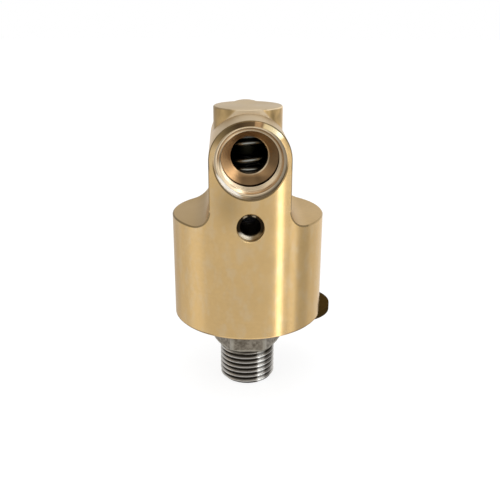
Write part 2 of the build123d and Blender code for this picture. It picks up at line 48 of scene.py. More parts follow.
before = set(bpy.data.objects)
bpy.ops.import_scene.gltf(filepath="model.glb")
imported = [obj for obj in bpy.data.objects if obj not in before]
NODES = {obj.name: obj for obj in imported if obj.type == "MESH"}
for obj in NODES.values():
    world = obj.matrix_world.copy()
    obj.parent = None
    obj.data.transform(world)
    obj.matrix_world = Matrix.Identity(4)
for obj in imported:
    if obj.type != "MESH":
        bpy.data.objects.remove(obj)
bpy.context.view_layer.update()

MM = 0.001
FULL_TURN = 2 * math.pi

# Housing: bar, shoulders, tongue, stub and chamber
HOUSING_R = 21.0
HOUSING_FOOT_Z = 10.0
SHOULDER_Z = 40.0
FILLET_R = 5.0
TONGUE_R = 10.5
STUB_R = 9.3
STUB_TOP_Z = 69.2
NECK_Z = 68.0
CHAMBER_R = 8.5

# Inlet port and drain
PORT_Z = 57.75
PORT_SEAT_R = 9.1
PORT_SEAT_Y = -18.4
PORT_THREAD_END_Y = -12.0
PORT_THROAT_R = 4.9
DRAIN_Z = 41.2
DRAIN_SEAT_R = 3.6

# Rotor, from its threaded foot to its seal pocket
ROTOR_FOOT_Z = -11.2
THREAD_RELIEF_Z = -0.5
HEX_FLAT_R = 8.5
HEX_TOP_Z = 8.0
COLLAR_R = 9.0
COLLAR_TOP_Z = 13.0
JOURNAL_R = 7.5
CLIP_GROOVE_Z = (31.0, 32.1)
CLIP_GROOVE_R = JOURNAL_R - 0.35
ROTOR_BORE_R = 4.5
SEAL_POCKET_Z = 35.6
SEAL_POCKET_R = 6.6
ROTOR_TOP_Z = 38.6

# Seal spring
SPRING_FOOT_Z = 51.5
SPRING_ROOF_Z = 63.5

# Threads: points in one pitch, half widths of crest and root in pitches, depth in pitches
THREAD_STEPS = 14
CREST_HALF = 0.085
ROOT_HALF = 0.11
THREAD_DEPTH = 0.6134

# Colours of the pieces inside the housing
CAGE_CREAM = (0.70, 0.62, 0.42)
SHEET_GREY = (0.56, 0.56, 0.55)
SPACER_GREY = (0.50, 0.50, 0.49)
PRELOAD_GREY = (0.30, 0.285, 0.26)
PIN_GREY = (0.60, 0.60, 0.59)
CARRIER_GREY = (0.58, 0.57, 0.55)
BACKUP_WHITE = (0.86, 0.86, 0.84)

# Painted shade along brass edges and in hollows, and painted highlights where they shine
EDGE_SHADE_BROWN = (0.12, 0.08, 0.035)
FOOT_SHADE_BROWN = (0.10, 0.065, 0.028)
SEAT_EDGE_SHADE_BROWN = (0.03, 0.018, 0.008)
CHAMBER_SHADE_BLACK = (0.03, 0.028, 0.018)
DRAIN_SHADE_BLACK = (0.022, 0.015, 0.008)
SEAT_GLINT = (1.0, 0.98, 0.92)
LIP_GLINT = (1.0, 0.95, 0.80)


class Tone:
    """A shader value, vector or colour that is used in plain arithmetic."""

    def __init__(self, sheet, socket):
        self.sheet = sheet
        self.socket = socket

    def math(self, operation, *values, clamp=False):
        """A Math node on these values."""
        settings = {"operation": operation, "use_clamp": clamp}
        return self.sheet.node("ShaderNodeMath", settings, dict(enumerate(values)))

    def __add__(self, other):
        return self.math("ADD", self, other)

    def __radd__(self, other):
        return self.math("ADD", other, self)

    def __sub__(self, other):
        return self.math("SUBTRACT", self, other)

    def __rsub__(self, other):
        return self.math("SUBTRACT", other, self)

    def __mul__(self, other):
        return self.math("MULTIPLY", self, other)

    def __rmul__(self, other):
        return self.math("MULTIPLY", other, self)

    def __truediv__(self, other):
        return self.math("DIVIDE", self, other)

    def __pow__(self, other):
        return self.math("POWER", self, other)

    def __abs__(self):
        return self.math("ABSOLUTE", self)

    def angle_to(self, across):
        """Angle of the point whose height is this value and whose reach is across."""
        return self.math("ARCTAN2", self, across)

    def rise(self, start, end):
        """0 up to start and 1 from end on, softly between. start may lie above end."""
        settings = {"interpolation_type": "SMOOTHSTEP", "clamp": True}
        values = {"Value": self, "From Min": start, "From Max": end}
        return self.sheet.node("ShaderNodeMapRange", settings, values)

    def near(self, centre, width):
        """1 at centre, falling softly to 0 at width away from it."""
        return abs(self - centre).rise(width, 0.4 * width)


class Sheet:
    """The node tree of one finish or of the world, written as expressions."""

    def __init__(self, tree):
        self.tree = tree
        tree.nodes.clear()

    def node(self, kind, settings=None, values=None, output=0):
        """Adds a node: its settings first, then the values or links of its sockets."""
        made = self.tree.nodes.new(kind)
        for key, value in (settings or {}).items():
            if key == "stops":
                self.set_stops(made.color_ramp, value)
            else:
                setattr(made, key, value)
        for key, value in (values or {}).items():
            if isinstance(value, Tone):
                self.tree.links.new(value.socket, made.inputs[key])
            else:
                made.inputs[key].default_value = value
        return Tone(self, made.outputs[output]) if made.outputs else None

    @staticmethod
    def set_stops(ramp, stops):
        """Gives a ramp its stops, each a place and a colour."""
        while len(ramp.elements) < len(stops):
            ramp.elements.new(0.5)
        for element, (place, colour) in zip(ramp.elements, stops):
            element.position = place
            element.color = rgba(colour)

    def axes(self, point):
        """The three parts of a vector."""
        outputs = self.node("ShaderNodeSeparateXYZ", None, {0: point}).socket.node.outputs
        return [Tone(self, part) for part in outputs]

    def vector(self, x, y, z):
        """A vector from three parts."""
        return self.node("ShaderNodeCombineXYZ", None, {0: x, 1: y, 2: z})

    def length(self, x, y):
        """Distance of a point from the origin of its plane."""
        return (x * x + y * y) ** 0.5

    def noise(self, point, scale, detail=3.0, rough=0.5):
        """Smooth noise from 0 to 1."""
        values = {"Vector": point, "Scale": scale, "Detail": detail, "Roughness": rough}
        return self.node("ShaderNodeTexNoise", None, values)

    def drawn(self, x, y, z, scale=1.0, detail=2.0, rough=0.5):
        """Noise drawn out into streaks by the shares that x, y and z are given with."""
        return self.noise(self.vector(x, y, z), scale, detail, rough)

    def mix(self, share, low, high):
        """A colour between two colours."""
        settings = {"data_type": "RGBA", "clamp_factor": True}
        values = {"Factor": share, 6: paint(low), 7: paint(high)}
        return self.node("ShaderNodeMix", settings, values, output=2)

    def toned(self, share, colour, low, high):
        """A colour between two brightnesses of itself."""
        return self.mix(share, shade(colour, low), shade(colour, high))

    def laid(self, base, *layers):
        """A colour with others laid over it in turn, each as its share and its tone."""
        for share, tone in layers:
            base = self.mix(share, base, tone)
        return base


class Finish(Sheet):
    """A material with one Principled shader, and the measures its pattern is drawn with."""

    def __init__(self, name, **constants):
        self.material = bpy.data.materials.new(name)
        self.material.use_nodes = True
        super().__init__(self.material.node_tree)
        values = {key.replace("_", " "): value for key, value in constants.items()}
        surface = self.node("ShaderNodeBsdfPrincipled", None, values)
        self.shader = surface.socket.node
        self.node("ShaderNodeOutputMaterial", None, {0: surface})
        place = self.node("ShaderNodeTexCoord", output="Object")
        scaling = {0: place, "Scale": 1 / MM}
        self.place = self.node("ShaderNodeVectorMath", {"operation": "SCALE"}, scaling)
        self.x, self.y, self.z = self.axes(self.place)
        self.radius = self.length(self.x, self.y)
        self.facing_up = self.axes(self.node("ShaderNodeTexCoord", output="Normal"))[2]

    def set(self, **inputs):
        """Links sockets of the shader."""
        for key, value in inputs.items():
            self.tree.links.new(value.socket, self.shader.inputs[key.replace("_", " ")])

    def relief(self, height, depth_mm, strength):
        """Bumps the surface by a height from 0 to 1."""
        values = {"Strength": strength, "Distance": depth_mm * MM, "Height": height}
        self.set(Normal=self.node("ShaderNodeBump", None, values))

    def rings(self, pitch_mm):
        """Turning lines round the Z axis: they change along Z and along the radius."""
        return self.drawn(0.04 * self.x, self.radius, self.z, 1 / pitch_mm)

    def blotches(self, size_mm, detail=3.0):
        """Slow uneven patches."""
        return self.noise(self.place, 1 / size_mm, detail)


def rgba(colour):
    """A grey or a colour as four numbers."""
    if isinstance(colour, (int, float)):
        return (colour, colour, colour, 1.0)
    return (*tuple(colour)[:3], 1.0)


def paint(value):
    """A colour as four numbers, and a linked one as it is."""
    return value if isinstance(value, Tone) else rgba(value)


def shade(colour, share):
    """A colour made darker or lighter."""
    return tuple(channel * share for channel in tuple(colour)[:3])


def dress(finish, *names):
    """Gives CAD nodes or pieces a finish in every material slot."""
    for name in names:
        piece = NODES.get(name) or bpy.data.objects[name]
        materials = piece.data.materials
        if not materials:
            materials.append(finish.material)
        for index in range(len(materials)):
            materials[index] = finish.material


def make_piece(name, points, faces, body, crease_deg=28):
    """A closed mesh from points in millimetres, merged, shaded and riding on its body."""
    mesh = bpy.data.meshes.new(name)
    mesh.from_pydata([tuple(MM * value for value in point) for point in points], [], faces)
    work = bmesh.new()
    work.from_mesh(mesh)
    bmesh.ops.remove_doubles(work, verts=work.verts, dist=0.002 * MM)
    bmesh.ops.dissolve_degenerate(work, edges=work.edges, dist=0.001 * MM)
    bmesh.ops.recalc_face_normals(work, faces=work.faces)
    work.to_mesh(mesh)
    work.free()
    mesh.shade_smooth()
    mesh.set_sharp_from_angle(angle=math.radians(crease_deg))
    piece = bpy.data.objects.new(name, mesh)
    bpy.context.scene.collection.objects.link(piece)
    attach(piece, body)
    return piece


def ring_faces(first, second, columns):
    """Quads between two closed rings, given by the index of their first points."""
    faces = []
    for column in range(columns):
        after = (column + 1) % columns
        faces.append((first + column, first + after, second + after, second + column))
    return faces


def thread_profile(crest_r, root_r):
    """Radii of a 60 degree thread over one pitch: crest, flank, root, flank."""
    radii = []
    for step in range(THREAD_STEPS):
        off = abs((step / THREAD_STEPS + 0.5) % 1.0 - 0.5)
        fall = (off - CREST_HALF) / (0.5 - CREST_HALF - ROOT_HALF)
        radii.append(crest_r + (root_r - crest_r) * min(max(fall, 0.0), 1.0))
    return radii


def helix_rows(start, end, pitch, columns, radius_at):
    """Points of a right-hand helical surface from start to end, and the quads between them.

    Each row climbs one pitch a turn, so its last column meets the row one pitch further on.
    """
    turns = math.ceil((end - start) / pitch) + 1
    rows = turns * THREAD_STEPS + 1
    points = []
    for row in range(rows):
        for column in range(columns):
            along = start + pitch * (row / THREAD_STEPS - 1 + column / columns)
            along = min(max(along, start), end)
            angle = FULL_TURN * column / columns
            points.append((angle, along, radius_at(row % THREAD_STEPS, along)))
    faces = []
    for row in range(rows - 1):
        for column in range(columns):
            after = row * columns + column + 1
            if column == columns - 1:
                if row + THREAD_STEPS + 1 >= rows:
                    continue
                after = (row + THREAD_STEPS) * columns
            here = row * columns + column
            faces.append((here, after, after + columns, here + columns))
    return points, faces


class ThreadSizes(bpy.types.PropertyGroup):
    """Sizes of the two threads."""

    rotor_outer: FloatProperty(
        name="Rotor thread",
        description="Outer diameter of the rotor's male thread, millimetres",
        default=16.0,
    )
    rotor_pitch: FloatProperty(
        name="Rotor pitch",
        description="Pitch of the rotor's male thread, millimetres",
        default=1.5,
    )
    port_outer: FloatProperty(
        name="Port thread",
        description="Outer diameter of the inlet port's thread, millimetres",
        default=16.6,
    )
    port_core: FloatProperty(
        name="Port core",
        description="Core diameter of the inlet port's thread, millimetres",
        default=14.95,
    )
    port_pitch: FloatProperty(
        name="Port pitch",
        description="Pitch of the inlet port's thread, millimetres",
        default=1.337,
    )
    columns: IntProperty(
        name="Columns",
        description="Points round one turn of a thread",
        default=192,
        min=48,
    )


class SpringSizes(bpy.types.PropertyGroup):
    """Sizes of the seal spring."""

    wire: FloatProperty(
        name="Wire", description="Diameter of the spring wire, millimetres", default=1.5
    )
    mean: FloatProperty(
        name="Mean diameter",
        description="Diameter of the coil at the middle of its wire, millimetres",
        default=12.7,
    )
    closed_pitch: FloatProperty(
        name="Closed pitch",
        description="Rise of a closed end turn, millimetres",
        default=1.6,
    )


class FinishColours(bpy.types.PropertyGroup):
    """Colours of the metals."""

    brass: FloatVectorProperty(
        name="Brass",
        description="Turned brass of the housing",
        subtype="COLOR",
        default=(0.60, 0.41, 0.185),
    )
    brass_pale: FloatVectorProperty(
        name="Milled brass",
        description="Brass where a face mill has left it",
        subtype="COLOR",
        default=(0.47, 0.385, 0.265),
    )
    brass_floor: FloatVectorProperty(
        name="Shoulder brass",
        description="Milled brass of the two shoulder floors",
        subtype="COLOR",
        default=(0.47, 0.325, 0.145),
    )
    brass_warm: FloatVectorProperty(
        name="Bored brass",
        description="Brass inside the port, where it mirrors itself",
        subtype="COLOR",
        default=(0.44, 0.265, 0.125),
    )
    stainless: FloatVectorProperty(
        name="Stainless",
        description="Turned stainless steel",
        subtype="COLOR",
        default=(0.50, 0.48, 0.45),
    )
    bearing: FloatVectorProperty(
        name="Bearing steel",
        description="Ground bearing steel",
        subtype="COLOR",
        default=(0.66, 0.66, 0.65),
    )
    tab_dark_brown: FloatVectorProperty(
        name="Dark brown steel",
        description="Dark brown sheet steel of the torque tab",
        subtype="COLOR",
        default=(0.062, 0.037, 0.010),
    )


class StageSettings(bpy.types.PropertyGroup):
    """The floor, the light and the lens."""

    dome: FloatProperty(
        name="Dome",
        description="Brightness of the white tent round the object",
        default=0.8,
    )
    lamp: FloatProperty(
        name="Lamp",
        description="Power of the large soft lamp overhead",
        default=0.5,
        unit="POWER",
    )
    lens: FloatProperty(
        name="Lens",
        description="Focal length of the camera, millimetres",
        default=48.67,
    )


class UNION_OT_housing(bpy.types.Operator):
    """Finish the brass housing: turned bar, milled tongue and shoulders, bored port and drain"""

    bl_idname = "union.housing"
    bl_label = "Housing finish"

    def execute(self, context):
        colours = context.scene.union_colours
        dress(brass_finish(colours), "housing")
        return {"FINISHED"}


class UNION_OT_rotor(bpy.types.Operator):
    """Build the stainless rotor with its thread, hexagon, journal and seal pocket"""

    bl_idname = "union.rotor"
    bl_label = "Rotor"

    def execute(self, context):
        points, faces = rotor_mesh(context.scene.union_threads)
        piece = make_piece("rotor_turned", points, faces, "rotor")
        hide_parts("rotor")
        dress(stainless_finish(context.scene.union_colours), "rotor_turned")
        return {"FINISHED"}


class UNION_OT_port_thread(bpy.types.Operator):
    """Cut the pipe thread inside the inlet port"""

    bl_idname = "union.port_thread"
    bl_label = "Port thread"

    def execute(self, context):
        points, faces = port_thread_mesh(context.scene.union_threads)
        make_piece("inlet_thread", points, faces, "housing")
        dress(port_finish(context.scene.union_colours), "inlet_thread")
        return {"FINISHED"}


class UNION_OT_seal_spring(bpy.types.Operator):
    """Wind the seal spring at one length; in the union it shortens as the seal lifts"""

    bl_idname = "union.seal_spring"
    bl_label = "Seal spring"

    def execute(self, context):
        points, faces = spring_mesh(context.scene.union_spring)
        piece = make_piece(
            "seal_spring_wound", points, faces, "housing", crease_deg=60
        )
        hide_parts("seal_spring")
        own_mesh(piece)
        dress(wire_finish(), "seal_spring_wound")
        return {"FINISHED"}


class UNION_OT_bearings(bpy.types.Operator):
    """Finish the two ball bearings and the spacers between them"""

    bl_idname = "union.bearings"
    bl_label = "Bearings"

    def execute(self, context):
        colours = context.scene.union_colours
        race = ground_finish("bearing_steel_ground", colours.bearing)
        ball = ball_finish()
        cage = polymer_finish("cage_polymer_natural", CAGE_CREAM)
        sheet = pressed_finish("shield_sheet_steel", SHEET_GREY)
        for place in ("lower", "upper"):
            dress(race, f"{place}_inner_race", f"{place}_outer_race")
            dress(ball, f"{place}_balls")
            dress(cage, f"{place}_ball_cage")
            dress(sheet, f"{place}_bearing_shields")
        dress(sheet, "dust_shield")
        spacer = ground_finish("spacer_turned_steel", SPACER_GREY)
        dress(spacer, "inner_spacer", "outer_spacer")
        return {"FINISHED"}


class UNION_OT_clips(bpy.types.Operator):
    """Finish the clips, the preload spring and the pin"""

    bl_idname = "union.clips"
    bl_label = "Clips, preload spring and pin"

    def execute(self, context):
        dress(phosphate_finish("circlip_phosphated"), "rotor_circlip", "housing_circlip")
        dress(pressed_finish("preload_spring_steel", PRELOAD_GREY), "preload_spring")
        dress(ground_finish("pin_ground_steel", PIN_GREY), "anti_rotation_pin")
        return {"FINISHED"}


class UNION_OT_seal(bpy.types.Operator):
    """Finish the face seal: carrier, both seal rings, O-rings and backup ring"""

    bl_idname = "union.seal"
    bl_label = "Face seal"

    def execute(self, context):
        dress(ground_finish("carrier_turned_stainless", CARRIER_GREY), "seal_carrier")
        dress(ceramic_finish(), "rotating_seal_ring")
        dress(carbon_finish(), "stationary_seal_ring")
        dress(rubber_finish(), "rotating_ring_oring", "piston_oring")
        dress(polymer_finish("backup_ring_white", BACKUP_WHITE), "piston_backup_ring")
        return {"FINISHED"}


class UNION_OT_torque_tab(bpy.types.Operator):
    """Finish the torque tab and its two screws"""

    bl_idname = "union.torque_tab"
    bl_label = "Torque tab"

    def execute(self, context):
        dress(tab_dark_finish(context.scene.union_colours), "torque_tab")
        dress(phosphate_finish("screw_blackened"), "torque_tab_screws")
        return {"FINISHED"}


class UNION_OT_stage(bpy.types.Operator):
    """Set the floor, the white tent, the lamps and the camera"""

    bl_idname = "union.stage"
    bl_label = "Stage"

    def execute(self, context):
        settings = context.scene.union_stage
        make_floor()
        make_dome(context.scene, settings.dome)
        make_lamps(settings.lamp)
        make_camera(context.scene, settings.lens)
        context.scene.view_settings.view_transform = "Standard"
        return {"FINISHED"}


class UNION_PT_panel(bpy.types.Panel):
    """The union's sizes, colours and pieces in the sidebar"""

    bl_idname = "UNION_PT_panel"
    bl_label = "Rotary Union"
    bl_space_type = "VIEW_3D"
    bl_region_type = "UI"
    bl_category = "Union"

    def draw(self, context):
        scene = context.scene
        for _, name, title in GROUPS:
            box = self.layout.box()
            box.label(text=title)
            group = getattr(scene, name)
            for key in group.__annotations__:
                box.prop(group, key)
        for operator in OPERATORS:
            self.layout.operator(operator.bl_idname)


def rotor_mesh(sizes):
    """The rotor as one closed skin: thread, hexagon, collar, journal, pocket and bore."""
    columns = sizes.columns
    outer = sizes.rotor_outer / 2
    root = outer - THREAD_DEPTH * sizes.rotor_pitch
    profile = thread_profile(outer, root)
    end_r = root - 0.05

    def thread_radius(step, along):
        foot_cone = end_r + (along - ROTOR_FOOT_Z)
        relief_cone = end_r + 1.2 * (THREAD_RELIEF_Z - along)
        return min(profile[step], foot_cone, relief_cone)

    rows, faces = helix_rows(
        ROTOR_FOOT_Z, THREAD_RELIEF_Z, sizes.rotor_pitch, columns, thread_radius
    )
    points = [(r * math.cos(a), r * math.sin(a), z) for a, z, r in rows]

    facet_r = HEX_FLAT_R / math.cos(math.pi / 6) - 1.0
    facet_slope = math.sqrt(3)

    def hex_radius(angle, z):
        off = (angle % (math.pi / 3)) - math.pi / 6
        low = facet_r + facet_slope * z
        high = facet_r + facet_slope * (HEX_TOP_Z - z)
        return min(HEX_FLAT_R / math.cos(off), low, high)

    relief_fillet = ((THREAD_RELIEF_Z, 0.0), (-0.12, 0.0), (-0.03, 0.03), (0.0, 0.12))
    rings = [[(z, end_r + out)] * columns for z, out in relief_fillet]
    facet_height = 0.577
    hex_heights = [facet_height * share for share in (0, 0.15, 0.3, 0.45, 0.6, 0.8, 1.0)]
    hex_heights += [HEX_TOP_Z - z for z in reversed(hex_heights)]
    for z in hex_heights:
        rings.append([(z, hex_radius(FULL_TURN * i / columns, z)) for i in range(columns)])
    collar_edge, journal_edge, pocket_edge, bore_edge = 0.2, 0.4, 0.1, 0.5
    turned = [
        (HEX_TOP_Z, COLLAR_R - 0.35),
        (HEX_TOP_Z + 0.15, COLLAR_R),
        (COLLAR_TOP_Z - collar_edge, COLLAR_R),
        (COLLAR_TOP_Z, COLLAR_R - collar_edge),
        (COLLAR_TOP_Z, JOURNAL_R),
        (CLIP_GROOVE_Z[0], JOURNAL_R),
        (CLIP_GROOVE_Z[0], CLIP_GROOVE_R),
        (CLIP_GROOVE_Z[1], CLIP_GROOVE_R),
        (CLIP_GROOVE_Z[1], JOURNAL_R),
        (ROTOR_TOP_Z - journal_edge, JOURNAL_R),
        (ROTOR_TOP_Z, JOURNAL_R - journal_edge),
        (ROTOR_TOP_Z, SEAL_POCKET_R + pocket_edge),
        (ROTOR_TOP_Z - pocket_edge, SEAL_POCKET_R),
        (SEAL_POCKET_Z, SEAL_POCKET_R),
        (SEAL_POCKET_Z, ROTOR_BORE_R),
        (ROTOR_FOOT_Z + bore_edge, ROTOR_BORE_R),
        (ROTOR_FOOT_Z, ROTOR_BORE_R + bore_edge),
        (ROTOR_FOOT_Z, end_r),
    ]
    rings += [[pair] * columns for pair in turned]
    first = len(points)
    for ring in rings:
        for column, (z, r) in enumerate(ring):
            angle = FULL_TURN * column / columns
            points.append((r * math.cos(angle), r * math.sin(angle), z))
    for index in range(len(rings) - 1):
        start = first + index * columns
        faces += ring_faces(start, start + columns, columns)
    return points, faces


def port_thread_mesh(sizes):
    """A thin threaded sleeve that lines the port: ridges inwards, lead-in, open run-out."""
    columns = sizes.columns
    root = sizes.port_outer / 2
    wall = root + 0.05
    start, end = PORT_SEAT_Y, PORT_THREAD_END_Y - 0.9
    profile = thread_profile(sizes.port_core / 2, root)

    def ridge_radius(step, along):
        lead_in = root - 1.1 * (along - start)
        run_out = root - 2.2 * (end - along)
        return max(profile[step], min(lead_in, root), min(run_out, root))

    rows, faces = helix_rows(start, end, sizes.port_pitch, columns, ridge_radius)
    first = len(rows)
    for along, r in ((start, root), (start, wall), (end, wall), (end, root)):
        rows += [(FULL_TURN * column / columns, along, r) for column in range(columns)]
    for ring in range(first, first + 3 * columns, columns):
        faces += ring_faces(ring, ring + columns, columns)
    points = [(r * math.cos(a), y, PORT_Z - r * math.sin(a)) for a, y, r in rows]
    return points, faces


def spring_mesh(sizes):
    """The seal spring: closed ends ground flat against the carrier and the roof."""
    radius = sizes.wire / 2
    mean = sizes.mean / 2
    low_turns, open_turns, high_turns, turns_to_front = 1.4, 1.3, 1.7, 0.69
    turns = low_turns + open_turns + high_turns
    ground = 0.3 * sizes.wire
    foot, roof = SPRING_FOOT_Z + ground, SPRING_ROOF_Z - ground
    closed_rise = sizes.closed_pitch * (low_turns + high_turns)
    open_pitch = (roof - foot - closed_rise) / open_turns
    steps, around = 330, 20
    centres = []
    for step in range(steps + 1):
        turn = turns * step / steps
        opened = min(max(turn - low_turns, 0), open_turns)
        height = foot + sizes.closed_pitch * (turn - opened) + open_pitch * opened
        angle = FULL_TURN * (turn - turns_to_front) - math.pi / 2
        centres.append(Vector((mean * math.cos(angle), mean * math.sin(angle), height)))
    points = []
    for index, centre in enumerate(centres):
        before = centres[max(index - 1, 0)]
        after = centres[min(index + 1, steps)]
        ahead = (after - before).normalized()
        outward = Vector((centre.x, centre.y, 0)).normalized()
        upward = ahead.cross(outward).normalized()
        outward = upward.cross(ahead)
        for corner in range(around):
            turn = FULL_TURN * corner / around
            point = centre + radius * (math.cos(turn) * outward + math.sin(turn) * upward)
            point.z = min(max(point.z, SPRING_FOOT_Z), SPRING_ROOF_Z)
            points.append(tuple(point))
    faces = []
    for index in range(steps):
        faces += ring_faces(index * around, (index + 1) * around, around)
    faces.append(tuple(range(around)))
    faces.append(tuple(steps * around + corner for corner in range(around)))
    return points, faces


class HousingAreas:
    """Where each cut of the housing lies, as values from 0 to 1 over its surface."""

    def __init__(self, finish):
        x, y, z, radius = finish.x, finish.y, finish.z, finish.radius
        self.port_up = z - PORT_Z
        self.port_r = finish.length(x, self.port_up)
        self.drain_up = z - DRAIN_Z
        front = y.rise(-5.0, -7.0)

        self.turned = radius.near(HOUSING_R, 0.5)
        chamber = radius.rise(CHAMBER_R + 0.4, CHAMBER_R + 0.1)
        # The chamber wall above the spring's roof, which is painted black as shade.
        self.inside = chamber * z.rise(SPRING_ROOF_Z + 0.3, SPRING_ROOF_Z)

        within = self.port_r.rise(PORT_SEAT_R + 0.05, PORT_SEAT_R - 0.05)
        within = within * radius.rise(HOUSING_R - 0.02, HOUSING_R - 0.1)
        self.in_port = within * front * z.rise(DRAIN_Z + 2.8, DRAIN_Z + 4.8)
        self.seat = self.in_port * self.port_r.rise(PORT_SEAT_R - 0.8, PORT_SEAT_R - 0.7)
        face = self.port_r.rise(PORT_SEAT_R - 0.05, PORT_SEAT_R + 0.1)
        face = face * self.port_r.rise(TONGUE_R + 0.25, TONGUE_R + 0.05)
        self.rim = face * self.turned * y.rise(-12.0, -14.0) * self.port_up.rise(2.0, 6.0)

        drain_r = finish.length(x, self.drain_up)
        drain = drain_r.rise(DRAIN_SEAT_R + 0.02, DRAIN_SEAT_R - 0.1) * y.rise(-8.0, -9.0)
        self.drain = drain * radius.rise(HOUSING_R - 0.1, HOUSING_R - 0.3)
        # The drain's lower lip, which takes a painted highlight at the left and painted shade at
        # the right.
        self.lip = self.drain * self.drain_up.rise(-1.2, -2.6) * y.rise(-17.8, -19.0)

        # Faces turned up: pale milled brass, partly for their milling and partly painted light
        # from above.
        up = finish.facing_up.rise(0.35, 0.8)
        self.milled = up * (1 - self.in_port) * (1 - self.inside)
        self.floor = self.milled * z.rise(SHOULDER_Z + 8.0, SHOULDER_Z + 5.0)

        self.stub = radius.near(STUB_R, 0.3)
        neck = (abs(x) + 0.9 * (z - NECK_Z)).rise(5.0, 4.0)
        self.neck = self.stub * z.rise(STUB_TOP_Z - 4.2, STUB_TOP_Z - 3.2) * neck * front
        wall = self.stub * z.rise(STUB_TOP_Z - 9.2, STUB_TOP_Z - 7.2)
        self.stub_wall = wall * (1 - self.neck) * (1 - self.milled)
        # The stub disc's front edge: painted shade at the left, a painted highlight at the right.
        top = z.rise(STUB_TOP_Z - 0.45, STUB_TOP_Z - 0.25)
        self.disc_edge_shade_highlight = self.stub * top * abs(x).rise(4.0, 5.0)
        # The foot's edge: a painted highlight all round, and painted shade at the sides.
        self.foot_edge_highlight_shade = self.turned * z.near(HOUSING_FOOT_Z + 0.35, 0.4)


def bar_tone(finish, areas, colours, patches, lathe):
    """Turned bar: uneven brass with pale clouds and faint lathe lines."""
    x, y, z = finish.x, finish.y, finish.z
    fine = finish.blotches(0.9, 4.0)
    clouds = finish.drawn(0.4 * x, 0.4 * y, 0.22 * z, detail=4.0, rough=0.6).rise(0.42, 0.72)
    return finish.laid(
        finish.toned(0.5 * patches + 0.5 * fine, colours.brass, 0.86, 1.12),
        (0.4 * clouds * areas.turned, shade(colours.brass_pale, 1.25)),
        (0.25 * lathe * areas.turned, shade(colours.brass, 1.2)),
    )


def shoulder_tone(finish, colours, marks):
    """Milled floors of the shoulders, with painted shade making them darker on the left."""
    tone = finish.toned(marks, colours.brass_floor, 0.78, 1.22)
    return finish.mix(finish.x.rise(4.0, -10.0), tone, shade(colours.brass_floor, 0.8))


def cone_tone(finish, areas, colours):
    """Bored walls of the port: warm, with painted shade on the right and at the bottom, and a
    painted highlight at the throat.
    """
    x, warm = finish.x, colours.brass_warm
    streaks = finish.drawn(0.3 * x, 0.3 * finish.y, 2.5 * areas.port_r)
    throat_highlight = areas.port_r.near(PORT_THROAT_R + 0.1, 0.3)
    low = areas.port_up.rise(-4.5, -5.8) * x.rise(-4.0, -1.5)
    return finish.laid(
        finish.toned(streaks, warm, 0.75, 1.1),
        # painted shade on the right, a painted highlight at the throat, painted shade at the
        # bottom
        (x.rise(-2.0, 6.0), shade(warm, 0.3)),
        (0.7 * throat_highlight * x.rise(-6.0, 4.0), colours.brass_pale),
        (0.9 * low, shade(warm, 0.24)),
    )


def seat_tone(finish, areas, colours):
    """Washer seat of the port: pale turned rings painted lighter as lit, painted shade on the
    right, and one painted glint at the lower left.
    """
    x, pale = finish.x, colours.brass_pale
    rings = finish.drawn(0.05 * x, 4.5 * finish.y, 3.0 * areas.port_r).rise(0.35, 0.65)
    return finish.laid(
        finish.toned(rings, pale, 0.9, 1.9),
        # painted shade on the right, then a painted glint at the lower left
        (x.rise(3.0, 8.0), shade(pale, 0.75)),
        ((0.67 * x + 0.74 * areas.port_up).rise(-7.7, -8.3), SEAT_GLINT),
    )


def rim_reflections(finish, areas, colours):
    """Face round the port: a painted reflection of what it mirrors, from the right over the top to
    the left.
    """
    brass, warm = colours.brass, colours.brass_warm
    stops = (
        (0.0, shade(brass, 0.5)),
        (0.20, shade(brass, 0.45)),
        (0.26, (0.95, 0.85, 0.58)),
        (0.33, (0.88, 0.72, 0.42)),
        (0.39, (0.80, 0.62, 0.33)),
        (0.41, shade(warm, 0.6)),
        (0.43, shade(warm, 1.1)),
        (0.465, shade(warm, 0.95)),
        (0.475, shade(warm, 0.3)),
        (0.60, shade(warm, 0.15)),
        (0.70, shade(brass, 0.2)),
        (0.85, shade(brass, 0.52)),
        (1.0, shade(brass, 0.95)),
    )
    sweep = areas.port_up.angle_to(finish.x) / math.pi
    return finish.node("ShaderNodeValToRGB", {"stops": stops}, {0: sweep})


def edge_shade_lines(finish, areas):
    """Painted shade: thin dark lines along the milled edges, strongest where the photograph shows
    them.
    """
    x, z, turned = finish.x, finish.z, areas.turned
    side = abs(x)
    left = x.rise(6.0, -6.0)
    fillet_x, fillet_z = TONGUE_R + FILLET_R, SHOULDER_Z + FILLET_R
    arch = areas.port_r.near(TONGUE_R, 0.34) * areas.port_up.rise(-3.0, 0.0)
    port = areas.port_r.near(PORT_SEAT_R + 0.15, 0.3) * areas.port_up.rise(1.0, -2.0)
    fillet = finish.length(side - fillet_x, z - fillet_z).near(FILLET_R + 0.05, 0.42)
    fillet = fillet * side.rise(fillet_x + 0.1, fillet_x - 0.1)
    fillet = fillet * z.rise(fillet_z, fillet_z - 0.5)
    floor = z.near(SHOULDER_Z - 0.1, 0.45) * side.rise(fillet_x - 0.1, fillet_x + 0.1)
    floor = floor * (0.35 + 0.65 * left)
    tongue = side.near(TONGUE_R, 0.34) * z.rise(fillet_z - 0.2, fillet_z + 0.5)
    tongue = tongue * areas.port_up.rise(0.5, -1.0)
    bar = 0.9 * arch + 0.85 * port + 0.75 * (fillet + floor) + 0.65 * tongue
    return bar * turned + 0.5 * areas.disc_edge_shade_highlight * x.rise(1.0, -1.0)


